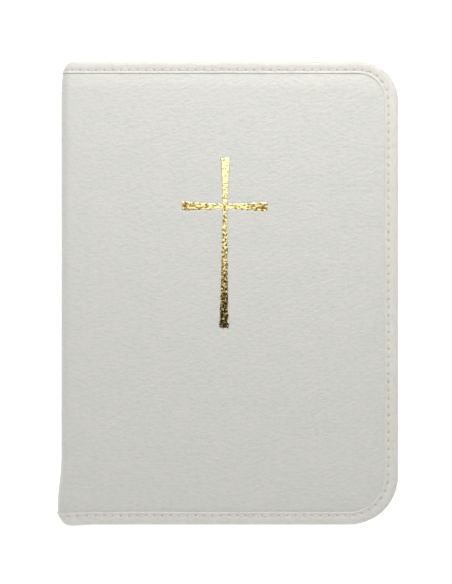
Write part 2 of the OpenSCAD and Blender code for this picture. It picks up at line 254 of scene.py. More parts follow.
def laid(a, y, h, mirrored=False, slack=True):
    """Where the panel's point (a, y) lies in the closed book, h above the case's outer surface.

    slack gives the spine its flared tail and drawn-in ends, and the strip its width at head and tail."""
    a, y, h = np.broadcast_arrays(np.asarray(a, float), np.asarray(y, float), np.asarray(h, float))
    turn = np.clip((a - SPINE_FLAT) / BEND_R, 0, math.pi / 2)
    nx, nz = -np.cos(turn), np.sin(turn)
    x = X_SPINE + BEND_R + (BEND_R + h) * nx + np.maximum(a - A_FACE, 0)
    z = THICK - BEND_R + (BEND_R + h) * nz - np.maximum(SPINE_FLAT - a, 0)
    if slack:
        share = spine_share(a)
        x = x - share * FLARE * smooth(-FLARE_FROM, -FLARE_TO, -y)
        end = np.clip(1 - np.minimum(Y_HEAD - y, y - Y_TAIL) / BINDING_W, 0, 1)
        x = x + share * np.where(y > 0, TUCK_HEAD, TUCK_TAIL) * end ** 1.2
        # The middle of the spine's end doesn't sag, which leaves room for the pull
        sag = share * smooth(4 * MM, 9 * MM, a) * TAIL_SAG * smooth(-Y_TAIL - 3 * BINDING_W, -Y_TAIL, -y)
        y = y + HEAD_HUG * hug(Y_HEAD - y) - TAIL_HUG * hug(y - Y_TAIL) - sag
    if mirrored:
        z = THICK - z
    return np.stack([x, y, z], -1)


def edge_distance(a, y):
    """How far the panel's point (a, y) is inside the case's edge."""
    d = np.minimum(A_EDGE - a, np.minimum(Y_HEAD - y, y - Y_TAIL))
    for radius, side in CORNERS:
        da = a - (A_EDGE - radius)
        dy = side * y - (Y_HEAD - radius)
        d = np.where((da > 0) & (dy > 0), radius - np.hypot(da, dy), d)
    return d


def rim_top(a, y):
    """How far the binding's top lies above the case's outer surface."""
    cover = RIM_FORE + (RIM_HEAD - RIM_FORE) * smooth(Y_HEAD - 4 * BINDING_W, Y_HEAD - BINDING_W, y)
    return RIM_SPINE + (cover - RIM_SPINE) * cover_share(a)


def rim_track(inset, step, a_from=0.0, ends=False):
    """Points along the case's edge from tail to head, taken in by inset: a, y, and the way out.

    a_from is where the track starts and ends on the tail and head edges. With ends, the first and the
    last point lie on the very ends."""
    turns = ((TAIL_R - inset) * math.pi / 2, (HEAD_R - inset) * math.pi / 2)
    runs = (A_EDGE - TAIL_R - a_from, turns[0], Y_HEAD - HEAD_R - Y_TAIL - TAIL_R, turns[1],
            A_EDGE - HEAD_R - a_from)
    total = sum(runs)
    n = max(2, round(total / step))
    s = np.linspace(0, total, n + 1) if ends else (np.arange(n) + 0.5) * total / n
    marks = np.concatenate([[0], np.cumsum(runs)])
    a, y, ua, uy = (np.zeros_like(s) for _ in range(4))
    k = np.clip(np.searchsorted(marks, s, side="right") - 1, 0, 4)
    t = s - marks[k]
    tail, head = k == 0, k == 4
    a[tail], y[tail], uy[tail] = a_from + t[tail], Y_TAIL + inset, -1
    a[head], y[head], uy[head] = A_EDGE - HEAD_R - t[head], Y_HEAD - inset, 1
    fore = k == 2
    a[fore], y[fore], ua[fore] = A_EDGE - inset, Y_TAIL + TAIL_R + t[fore], 1
    for part, radius, centre_y, first in ((1, TAIL_R, Y_TAIL + TAIL_R, -math.pi / 2),
                                          (3, HEAD_R, Y_HEAD - HEAD_R, 0.0)):
        on = k == part
        turned = first + t[on] / (radius - inset)
        ua[on], uy[on] = np.cos(turned), np.sin(turned)
        a[on] = A_EDGE - radius + (radius - inset) * ua[on]
        y[on] = centre_y + (radius - inset) * uy[on]
    return a, y, ua, uy, s


def stitch_marks():
    return rim_track(STITCH_INSET, STITCH_STEP)


def rim_sweep(name, profile, mirrored, inset=0.0, step=0.48 * MM, a_from=0.0, shape=None, slack=True):
    """Sweeps a closed profile of (u, h) round the edge. u is out of the edge, h above the case.

    shape(u, h, s, a, y) gives the profile's own u and h along the edge, and the marks a look can use."""
    a, y, ua, uy, s = rim_track(inset, step, a_from, ends=True)
    profile = np.asarray(profile, float)
    u = np.repeat(profile[None, :, 0], len(s), 0)
    h = np.repeat(profile[None, :, 1], len(s), 0)
    masks = {}
    if shape is not None:
        u, h, masks = shape(u, h, s[:, None], a[:, None], y[:, None])
    pa = a[:, None] + (u + inset) * ua[:, None]
    py = y[:, None] + (u + inset) * uy[:, None]
    verts = laid(pa, py, h, mirrored, slack).reshape(-1, 3)
    n = profile.shape[0]
    faces = grid_faces(len(s), n, wrap=True) + end_caps(len(s), n)
    along = np.concatenate([[0], np.cumsum(np.hypot(*np.diff(profile, axis=0).T))])
    uvs = np.stack([np.repeat(s[:, None], n, 1), np.repeat(along[None, :], len(s), 0)], -1)
    masks = {mask: np.broadcast_to(values, u.shape).ravel() for mask, values in masks.items()}
    return closed_object(name, verts, faces, uvs.reshape(-1, 2), masks=masks)


# ---------- the leather ----------

CROSS_X, CROSS_Y = -1.56 * MM, 29.8 * MM   # where the cross's arms meet
CROSS_H, CROSS_W = 58.8 * MM, 29.6 * MM
CROSS_ABOVE = 0.283 * CROSS_H
CROSS_LEAN = math.radians(-0.5)
CROSS_DEPTH = 0.14 * MM


def cross_arms():
    """Each arm of the cross: its direction, length, and width at the root and the tip."""
    quarter = math.pi / 2
    return ((quarter, CROSS_ABOVE, 1.6 * MM, 3.4 * MM),
            (-quarter, CROSS_H - CROSS_ABOVE, 1.6 * MM, 3.2 * MM),
            (math.pi, CROSS_W / 2, 1.7 * MM, 3.4 * MM),
            (0.0, CROSS_W / 2, 1.7 * MM, 3.4 * MM))


def arm_half_width(t, root, tip):
    return root / 2 + (tip - root) / 2 * np.clip(t, 0, 1) ** 1.3


def cross_inside(a, y):
    """How far the point (a, y) is inside the stamped cross; negative outside."""
    x = a - X_TO_A - CROSS_X
    y = y - CROSS_Y
    best = np.full(np.shape(x), -1.0)
    for way, length, root, tip in cross_arms():
        way += CROSS_LEAN
        along = x * math.cos(way) + y * math.sin(way)
        side = np.abs(-x * math.sin(way) + y * math.cos(way))
        inside = np.minimum(arm_half_width(along / length, root, tip) - side, length - along)
        best = np.maximum(best, np.where(along > -root / 2, inside, -1.0))
    return best


CREASE_Y = -50 * MM                        # a row of slight slanting creases across the pad


def puckers(a, y, seed):
    """Small ridges square to the sewn edge, slow swells on the pad, and the row of creases."""
    d = edge_distance(a, y)
    round_rim = np.where(A_EDGE - a < np.minimum(Y_HEAD - y, y - Y_TAIL), y, a)
    near = np.clip(1 - (d - BINDING_W) / (11 * MM), 0, 1) ** 1.5
    ridge = waves(round_rim / (4.2 * MM), d / (26 * MM), seed, 3)
    swell = waves(a / (27 * MM), y / (21 * MM), seed + 7, 2)
    slant = waves((a + 0.7 * y) / (3.2 * MM), (y - 0.7 * a) / (15 * MM), seed + 13, 2)
    patch = smooth(0.1, 0.7, waves(a / (30 * MM), y / (24 * MM), seed + 19, 1))
    row_y = CREASE_Y + 1.5 * MM * waves(a / (40 * MM), 0 * a, seed + 23, 1)
    row = np.exp(-((y - row_y) / (2.6 * MM)) ** 2)
    crease = row * waves((a + 0.8 * y) / (1.9 * MM), 0 * a, seed + 29, 1)
    return (0.085 * near * ridge + 0.10 * swell + 0.028 * slant * patch + 0.05 * crease) * MM


PAD_RISE = 0.5 * MM                        # how far the foam lifts the leather
SIM_SCALE = 10                             # the cloth solver works best on a sheet a metre or so long
SIM_FRAMES = 20


def settled_leather(seed):
    """Leather sewn down along its edge and lifted by the foam, as a cloth simulation.

    Gives the sheet's rows a, columns y, and each point's rise from 0 to 1."""
    a = np.linspace(A_FACE - 4 * MM, A_EDGE - BINDING_W, 46)
    y = np.linspace(Y_TAIL + BINDING_W, Y_HEAD - BINDING_W, 62)
    ga, gy = np.meshgrid(a, y, indexing="ij")
    slack = 0.02 * MM * SIM_SCALE * waves(ga / (9 * MM), gy / (9 * MM), seed + 41, 2)
    flat = np.stack([ga * SIM_SCALE, gy * SIM_SCALE, slack], -1).reshape(-1, 3)
    # Pressure pushes along the faces' normals, so they face up
    upwards = [face[::-1] for face in grid_faces(len(a), len(y))]
    sheet = make_object("settling_sheet", flat, upwards, shade=False)
    sewn = (edge_distance(ga, gy) < BINDING_W + 1 * MM) | (ga < A_FACE - 2 * MM)
    held = [int(i) for i in np.flatnonzero(sewn.ravel())]
    sheet.vertex_groups.new(name="sewn").add(held, 1.0, "REPLACE")
    modifier = add_modifier(sheet, "CLOTH")
    modifier.collision_settings.use_collision = False
    for key, value in {"quality": 6, "mass": 0.4, "tension_stiffness": 12, "compression_stiffness": 12,
                       "shear_stiffness": 6, "bending_stiffness": 0.6, "shrink_min": -0.02,
                       "use_pressure": True, "uniform_pressure_force": 4,
                       "vertex_group_mass": "sewn"}.items():
        setattr(modifier.settings, key, value)
    modifier.settings.effector_weights.gravity = 0
    for step in range(1, SIM_FRAMES + 1):
        bpy.context.scene.frame_set(step)
    apply_modifiers(sheet)
    settled = np.zeros(len(sheet.data.vertices) * 3, np.float32)
    sheet.data.vertices.foreach_get("co", settled)
    bpy.context.scene.frame_set(1)
    bpy.data.objects.remove(sheet)
    rise = settled.reshape(len(a), len(y), 3)[:, :, 2].astype(float)
    return a, y, np.clip(rise / rise.max(), 0, 1)


def rise_at(settled, a, y):
    """The settled sheet's rise at the points (a, y), between its own points."""
    rows, columns, rise = settled

    def cell(line, at):
        place = np.clip((at - line[0]) / (line[-1] - line[0]) * (len(line) - 1), 0, len(line) - 1.001)
        return place.astype(int), place - place.astype(int)

    (i, fa), (j, fy) = cell(rows, a), cell(columns, y)
    near = rise[i, j] * (1 - fy) + rise[i, j + 1] * fy
    return near * (1 - fa) + (rise[i + 1, j] * (1 - fy) + rise[i + 1, j + 1] * fy) * fa


FRONT_SEED, BACK_SEED = 11, 57
SETTLED = {seed: settled_leather(seed) for seed in (FRONT_SEED, BACK_SEED)}


def leather_height(a, y, seed, stamped):
    d = edge_distance(a, y)
    roll = np.clip((ROLL_W - d) / (ROLL_W - BINDING_W), 0, 1) ** 1.5
    h = PAD_RISE * rise_at(SETTLED[seed], a, y) + (rim_top(a, y) - STRIP_T) * roll
    h = h + puckers(a, y, seed) * (0.35 + 0.65 * cover_share(a)) * smooth(3.5 * MM, 7 * MM, d)
    if stamped:
        h = h - CROSS_DEPTH * smooth(-0.35 * MM, 0.25 * MM, cross_inside(a, y))
    return h


def spaced(*stops):
    """Positions from stop to stop. Each stop after the first is (end, step)."""
    out = [np.array([stops[0]])]
    here = stops[0]
    for end, step in stops[1:]:
        n = max(1, round((end - here) / step))
        out.append(np.linspace(here, end, n + 1)[1:])
        here = end
    return np.concatenate(out)


def panel_grid(margin, fine=True):
    """A grid over the panel, whose last column follows the case's rounded edge: a and y arrays."""
    step = 0.9 * MM if fine else 2.5 * MM
    y_rows = []
    for radius, side in reversed(CORNERS):
        turned = np.linspace(0, math.pi / 2, 26 if fine else 10)
        y_rows.append(side * (Y_HEAD - radius + (radius - margin) * np.sin(turned)))
    arm_low, arm_high = CROSS_Y - 2.6 * MM, CROSS_Y + 2.6 * MM
    arm_step = 0.3 * MM if fine else step
    middle = spaced(y_rows[0][0], (arm_low, step), (arm_high, arm_step), (y_rows[1][0], step))
    y = np.concatenate([y_rows[0][::-1], middle[1:-1], y_rows[1]])
    reach = np.full_like(y, A_EDGE - margin)
    for radius, side in CORNERS:
        over = side * y - (Y_HEAD - radius)
        on = over > 0
        reach[on] = A_EDGE - radius + np.sqrt(np.maximum((radius - margin) ** 2 - over[on] ** 2, 0))
    a_free = A_FACE + 14 * MM
    cross_a = CROSS_X + X_TO_A
    up_low, up_high = cross_a - 2.4 * MM, cross_a + 2.4 * MM
    plain = spaced(0.0, (SPINE_FLAT, 1.5 * MM), (A_FACE, 0.45 * MM), (a_free, step),
                   (up_low, step), (up_high, arm_step), (A_EDGE - margin, step))
    # Columns past the cross follow the rounded edge more and more
    share = smooth(up_high, A_EDGE - margin, plain)[None, :] ** 0.8
    a = plain[None, :] + (reach[:, None] - (A_EDGE - margin)) * share
    return a, np.repeat(y[:, None], a.shape[1], 1)


def panel_piece(name, a, y, top, thickness, mirrored):
    """A closed sheet on the panel: its top is at top(a, y), and it is thickness thick."""
    h = top(a, y)
    return closed_sheet(name, laid(a, y, h, mirrored), laid(a, y, h - thickness, mirrored),
                        np.stack([a, y], -1))


def bend_with_case(piece, mirrored):
    """Bakes the piece's transform into its mesh; it doesn't fold the piece."""
    if mirrored:
        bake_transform(piece)
    else:
        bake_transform(piece)


def binding_profile():
    """The folded strip's section: a soft rounded fold outside, the raw edges inside."""
    inner = [(-4.78, -0.4), (-4.8, -0.02), (-4.74, 0.05), (-4.5, 0.07), (-4.2, 0.04)]
    crest = [(-3.95, 0.0), (-3.75, -0.03), (-3.6, -0.05), (-3.5, -0.06), (-3.4, -0.05), (-3.25, -0.02),
             (-3.05, 0.01), (-2.6, 0.04), (-2.1, 0.06), (-1.6, 0.05), (-1.2, 0.0)]
    points = [(u * MM, h * MM) for u, h in inner + crest]
    depth = RIM_Z - RIM_LOW
    for turned in np.linspace(68, -90, 15):
        angle = math.radians(turned)
        points.append((depth / 2 * (math.cos(angle) - 1), depth / 2 * (math.sin(angle) - 1)))
    low = [(-2.6, 0), (-3.7, 0), (-3.9, 0.2), (-3.9, 0.5), (-1.3, 0.62), (-0.75, 1.2)]
    points += [(u * MM, h * MM - depth) for u, h in low]
    return points + [(-1.2 * MM, -0.62 * MM), (-3.0 * MM, -0.66 * MM)]


def binding(name, mirrored, seed):
    """The strip folded over the case's edge, pulled down by every stitch."""
    steps = 10                             # rings of the sweep for each stitch
    stitch_count = len(stitch_marks()[4])

    def shape(u, h, s, a, y):
        inner = 1 - np.clip((u + BINDING_W) / BINDING_W, 0, 1)
        beat = 0.5 + 0.5 * np.cos(2 * math.pi * s * stitch_count / s[-1])
        top = h > -0.4 * MM
        near = np.exp(-((u + STITCH_INSET) / (0.4 * MM)) ** 2) * top
        # Dents the strip at each needle hole; the binding's look also paints shade there from this mask
        hole = beat ** 5 * near
        h = h - 0.03 * MM * beat * np.exp(-((u + STITCH_INSET) / (0.9 * MM)) ** 2) * top - 0.14 * MM * hole
        h = h + 0.04 * MM * waves(s / (3.4 * MM), u / (6 * MM), seed, 2) * top
        u = u + 0.1 * MM * waves(s / (9 * MM), 0 * s, seed + 3, 2) * inner
        return u, h + rim_top(a, y), {"hole": hole}

    return rim_sweep(name, binding_profile(), mirrored, STITCH_INSET, STITCH_STEP / steps, shape=shape)


def stitches(name, mirrored, seed):
    """One arched thread for each stitch, sunk into the strip at both ends."""
    a, y, ua, uy, s = stitch_marks()
    rng = np.random.default_rng(seed)
    rings, sides = 9, 8
    t = np.linspace(-1, 1, rings)
    verts, faces = [], []
    length, radius = 2.3 * MM, 0.2 * MM
    around = np.linspace(0, 2 * math.pi, sides, endpoint=False)
    for i in range(len(s)):
        lean = rng.normal(0, 0.035)
        ta = -uy[i] * math.cos(lean) - ua[i] * math.sin(lean)
        ty = ua[i] * math.cos(lean) - uy[i] * math.sin(lean)
        long = length * (1 + rng.normal(0, 0.03)) / 2
        lift = rng.normal(-0.05, 0.012) * MM + float(rim_top(a[i], y[i]))
        base = len(verts)
        for k in range(rings):
            fat = radius * math.sqrt(max(1 - abs(t[k]) ** 5, 0.06))
            centre_h = lift - 0.3 * MM * abs(t[k]) ** 4
            ca, cy = a[i] + ta * long * t[k], y[i] + ty * long * t[k]
            for angle in around:
                side = fat * math.cos(angle)
                verts.append((ca - ty * side, cy + ta * side, centre_h + fat * math.sin(angle)))
        faces += grid_faces(rings, sides, base, wrap=True)
        faces += [tuple(base + j for j in cap) for cap in end_caps(rings, sides)]
    flat = np.array(verts)
    return closed_object(name, laid(*flat.T, mirrored), faces, flat[:, :2])


# ---------- the zip ----------

TAPE_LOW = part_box("front_zip_tape")[0].z
TAPE_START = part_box("front_zip_tape")[0].x + X_TO_A
COIL_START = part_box("zip_bottom_stop")[1].x + X_TO_A
COIL_STEP = 1.3 * MM
COIL_U, COIL_Z = -3.15 * MM, 1.24 * MM    # the middle of a row of teeth, from the edge and mid-thickness


def zip_tape(name, mirrored):
    """The woven tape: a flange sewn under the binding, and a wall that turns down to the teeth."""
    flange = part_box("front_zip_tape")[1].z - THICK - 0.25 * MM
    wall_foot = TAPE_LOW - THICK
    soft = 0.6 * MM
    outer = [(-0.7, flange + 0.22 * MM), (-2.0, flange + 0.24 * MM), (-3.4, flange + 0.16 * MM)]
    profile = [(u * MM, h) for u, h in outer]
    profile += [(-4.0 * MM, flange - soft * 0.5), (-4.02 * MM, flange - soft * 2)]
    bow, wall_top = 0.15 * MM, flange - 1.2 * MM
    profile += [(-4.02 * MM - bow * math.sin(math.pi * t), wall_top + (wall_foot - flange + 1.2 * MM) * t)
                for t in np.linspace(0.1, 1, 9)]
    profile += [(u - 0.42 * MM, h) for u, h in profile[:4:-1]]
    profile.append((-4.5 * MM, flange - soft * 1.5))
    inner = [(-4.7, -0.2), (-5.9, -0.2), (-5.95, 0.2), (-4.4, 0.2), (-3.5, -0.12), (-2.0, -0.05)]
    profile += [(u * MM, flange + h * MM) for u, h in inner + [(-0.7, -0.02)]]

    def shape(u, h, s, a, y):
        low = smooth(5 * MM, 12 * MM, -h)
        return u + 0.1 * MM * waves(s / (7 * MM), h / (9 * MM), 31 + mirrored, 2) * low, h, {}

    return rim_sweep(name, profile, mirrored, STITCH_INSET, 1.4 * MM, TAPE_START, shape, slack=False)


def zip_coil(name, mirrored):
    """One row of nylon teeth: a flattened spiral whose turns pass between the other row's."""
    a, y, ua, uy, s = rim_track(-COIL_U, 0.1 * MM, COIL_START, ends=True)
    turns = math.floor(s[-1] / COIL_STEP) - 1
    per_turn, sides, radius = 12, 6, 0.27 * MM
    phase = np.linspace(0, 1, per_turn, endpoint=False)
    run = (np.arange(turns)[:, None] + phase[None, :] + (0.5 if mirrored else 0.0)).ravel() * COIL_STEP
    angle = np.tile(phase, turns) * 2 * math.pi
    ca, cy = np.interp(run, s, a), np.interp(run, s, y)
    oa, oy = np.interp(run, s, ua), np.interp(run, s, uy)
    # A turn is long across the zip and pinched at its head
    u = 0.5 * MM * np.sin(angle) * (1 - 0.3 * np.maximum(np.cos(angle), 0))
    z = COIL_Z - 1.15 * MM * np.sign(np.cos(angle)) * np.abs(np.cos(angle)) ** 0.8
    line = np.stack([ca + oa * u, cy + oy * u, z], -1)

    def placed(points):
        a, y, z = points.T
        return laid(a, y, z + HALF - THICK, mirrored, slack=False)

    return cord_piece(name, line, np.stack([-oy, oa, 0 * oa], -1), radius, sides, run, placed)


# ---------- the text block ----------

PAGE_LOW, PAGE_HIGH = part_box("front_sections_inner")[0].z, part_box("front_sections_outer")[1].z
PAGE_BACK, PAGE_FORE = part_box("front_sections_inner")[0].x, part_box("front_sections_inner")[1].x
PAGE_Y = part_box("front_sections_inner")[1].y
PAGE_R = 6 * MM
BACK_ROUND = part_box("front_sections_outer")[0].x - PAGE_BACK


def page_back(z):
    """The rounded back of the text block, z from mid-thickness."""
    return PAGE_BACK + BACK_ROUND * (z / (PAGE_HIGH - HALF)) ** 2


def page_ring(z):
    """The leaf's outline at height z: square at the back and rounded at the fore-edge."""
    back, fore, side = page_back(z), PAGE_FORE, PAGE_Y
    turned = np.linspace(0, math.pi / 2, 9)
    down = [(fore - PAGE_R + PAGE_R * math.sin(t), -side + PAGE_R - PAGE_R * math.cos(t)) for t in turned]
    up = [(fore - PAGE_R + PAGE_R * math.cos(t), side - PAGE_R + PAGE_R * math.sin(t)) for t in turned]
    across, along = np.linspace(0, 1, 24), np.linspace(0, 1, 30)[1:-1]
    straight = fore - PAGE_R
    ring = [(back + (straight - back) * t, -side) for t in across[:-1]] + down
    ring += [(fore, -side + PAGE_R + (2 * side - 2 * PAGE_R) * t) for t in along]
    ring += up + [(straight + (back - straight) * t, side) for t in across[1:]]
    ring += [(back, side - 2 * side * t) for t in along]
    return np.array(ring)


def page_block(name, mirrored):
    """Half the leaves, as one block."""
    levels = np.linspace(PAGE_LOW, PAGE_HIGH, 27)
    rings = []
    for k, z in enumerate(levels):
        ring = page_ring(z - HALF)
        wobble = 0.10 * MM * waves(np.arange(len(ring)) * 0.31, np.full(len(ring), k * 1.7), 5, 2)
        lean = np.stack([np.sign(ring[:, 0]) * wobble, 0 * wobble], -1)
        rings.append(np.column_stack([ring - np.abs(lean), np.full(len(ring), z)]))
    n = len(rings[0])
    verts = np.concatenate(rings)
    faces = grid_faces(len(rings), n, wrap=True)
    # Each cap is filled with ever smaller outlines
    start = len(verts)
    extra = []
    for level, first in ((0, 0), (len(rings) - 1, (len(rings) - 1) * n)):
        ring, last = rings[level], first
        middle = ring.mean(0)
        for inward in (0.985, 0.9, 0.75, 0.55, 0.3):
            inner = middle + (ring - middle) * inward
            here = start + len(extra)
            extra += list(inner)
            faces += [(last + i, last + (i + 1) % n, here + (i + 1) % n, here + i) for i in range(n)]
            last = here
        extra.append(middle)
        faces += [(last + i, last + (i + 1) % n, start + len(extra) - 1) for i in range(n)]
    verts = np.concatenate([verts, np.array(extra)])
    if mirrored:
        verts[:, 2] = THICK - verts[:, 2]
    uvs = np.stack([verts[:, 0] + verts[:, 1], verts[:, 2]], -1)
    made = closed_object(name, verts, faces, uvs)
    made.data.materials.append(look_gilt.material)
    made.data.materials.append(look_page.material)
    for face in made.data.polygons:
        x = face.center.x
        is_back = x < page_back(face.center.z - HALF) + 0.4 * MM
        face.material_index = 1 if abs(face.normal.z) > 0.7 or is_back else 0
        face.use_smooth = abs(face.normal.z) < 0.7
    side = "back" if mirrored else "front"
    fan(made)
    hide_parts(*[f"{side}_sections_{part}" for part in ("outer", "middle", "inner")])
    return made


def fan(piece):
    """Bakes the piece's transform into its mesh."""
    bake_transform(piece)


def band(name, side, end):
    """The striped band glued on the back of the leaves, at the head or the tail."""
    node = f"{end}_band_{side}"
    low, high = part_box(node)
    radius = min(high.y - low.y, 1.6 * MM) / 2
    y = (low.y + high.y) / 2
    line = np.array([(page_back(z - HALF) + radius * 0.15, y, z) for z in np.linspace(low.z, high.z, 26)])
    run = np.concatenate([[0], np.cumsum(np.linalg.norm(np.diff(line, axis=0), axis=1))])
    made = cord_piece(name, line, (1, 0, 0), radius, 10, run)
    fan(made)
    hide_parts(node)
    return dress(made, look_band)


def spine_cloth(name, side):
    """The mull glued over the back of the leaves."""
    node = f"spine_cloth_{side}"
    low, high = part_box(node)
    z, y = np.meshgrid(np.linspace(low.z, high.z, 22), np.linspace(low.y, high.y, 40), indexing="ij")
    thick, gap = 0.25 * MM, 0.02 * MM
    outer, inner = (np.stack([page_back(z - HALF) - gap - out, y, z], -1) for out in (thick, 0.0))
    made = closed_sheet(name, outer, inner, np.stack([z, y], -1))
    fan(made)
    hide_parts(node)
    return dress(made, look_mull)


def thin_sheet(name, x, y, z, thick, ripple=0.0, seed=0):
    """A closed thin sheet over the grid of x and y, at height z."""
    gx, gy = np.meshgrid(x, y, indexing="ij")
    top = z + thick / 2 + ripple * waves(gx / (20 * MM), gy / (26 * MM), seed, 2)
    return closed_sheet(name, np.stack([gx, gy, top], -1), np.stack([gx, gy, top - thick], -1),
                        np.stack([gx, gy], -1))


def leaf(name, node):
    low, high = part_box(node)
    bend_end = low.x + 30 * MM
    x = np.concatenate([np.linspace(low.x, bend_end, 31), np.linspace(bend_end, high.x, 24)[1:]])
    y = np.linspace(low.y, high.y, 36)
    made = thin_sheet(name, x, y, (low.z + high.z) / 2, (high.z - low.z) * 0.8)
    # The two corners at the fore-edge are rounded
    for v in made.data.vertices:
        dx, dy = v.co.x - (high.x - PAGE_R), abs(v.co.y) - (high.y - PAGE_R)
        if dx > 0 and dy > 0:
            reach = max(dx, dy) / math.hypot(dx, dy)
            v.co.x = high.x - PAGE_R + dx * reach
            v.co.y = math.copysign(high.y - PAGE_R + dy * reach, v.co.y)
    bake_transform(made)
    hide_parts(node)
    return dress(made, look_page)


# ---------- the gold cross ----------

def cross_foil(name):
    """The stamped foil, with grained, slightly ragged edges. Its rim attribute is 1 at the edge."""
    columns = 9
    across = np.linspace(-1, 1, columns)
    root = 0.8 * MM
    verts, faces, rim = [], [], []

    def add_grid(points, edge):
        start = len(verts)
        rows = len(points) // columns
        verts.extend(points)
        rim.extend(edge)
        faces.extend(grid_faces(rows, columns, start))

    square = [(root * u, root * v) for u in across for v in across]
    add_grid(square, [0.0] * len(square))
    for k, (way, length, base_w, tip_w) in enumerate(cross_arms()):
        rows = round(length / (0.18 * MM))
        ca, sa = math.cos(way), math.sin(way)
        points, edge = [], []
        for r in range(rows + 1):
            t = r / rows
            along = root + (length - root) * t
            half = root + (float(arm_half_width(t, base_w, tip_w)) - root) * min(1, t * 12)
            for v in across:
                ragged = 0.0
                if r and abs(v) == 1:
                    ragged = 0.3 * MM * float(waves(along / (0.75 * MM), k * 7.3 + v, 41, 2))
                side = v * half + ragged * np.sign(v)
                end = 0.3 * MM * float(waves(v * 3, k * 3.1, 43, 2)) if r == rows else 0.0
                points.append((ca * (along + end) - sa * side, sa * (along + end) + ca * side))
                edge.append(max(abs(v) ** 3, smooth(0.975, 1.0, t)))
        add_grid(points, edge)
    flat = np.array(verts)
    cl, sl = math.cos(CROSS_LEAN), math.sin(CROSS_LEAN)
    x = CROSS_X + flat[:, 0] * cl - flat[:, 1] * sl
    y = CROSS_Y + flat[:, 0] * sl + flat[:, 1] * cl
    a = x + X_TO_A
    h = leather_height(a, y, FRONT_SEED, True) + 0.055 * MM
    made = make_object(name, laid(a, y, h), faces, np.stack([x, y], -1), masks={"rim": rim})
    bm = bmesh.new()
    bm.from_mesh(made.data)
    bmesh.ops.remove_doubles(bm, verts=bm.verts, dist=0.02 * MM)
    bmesh.ops.recalc_face_normals(bm, faces=bm.faces)
    if sum(f.normal.z for f in bm.faces) < 0:
        bmesh.ops.reverse_faces(bm, faces=bm.faces)
    bm.to_mesh(made.data)
    bm.free()
    add_modifier(made, "SOLIDIFY", thickness=0.04 * MM, offset=-1.0)
    return apply_modifiers(made)


# ---------- materials ----------

def linear(*srgb):
    """An 8-bit display colour as the shader's linear colour."""
    parts = [v / 255 for v in srgb]
    return tuple(v / 12.92 if v <= 0.04045 else ((v + 0.055) / 1.055) ** 2.4 for v in parts) + (1.0,)


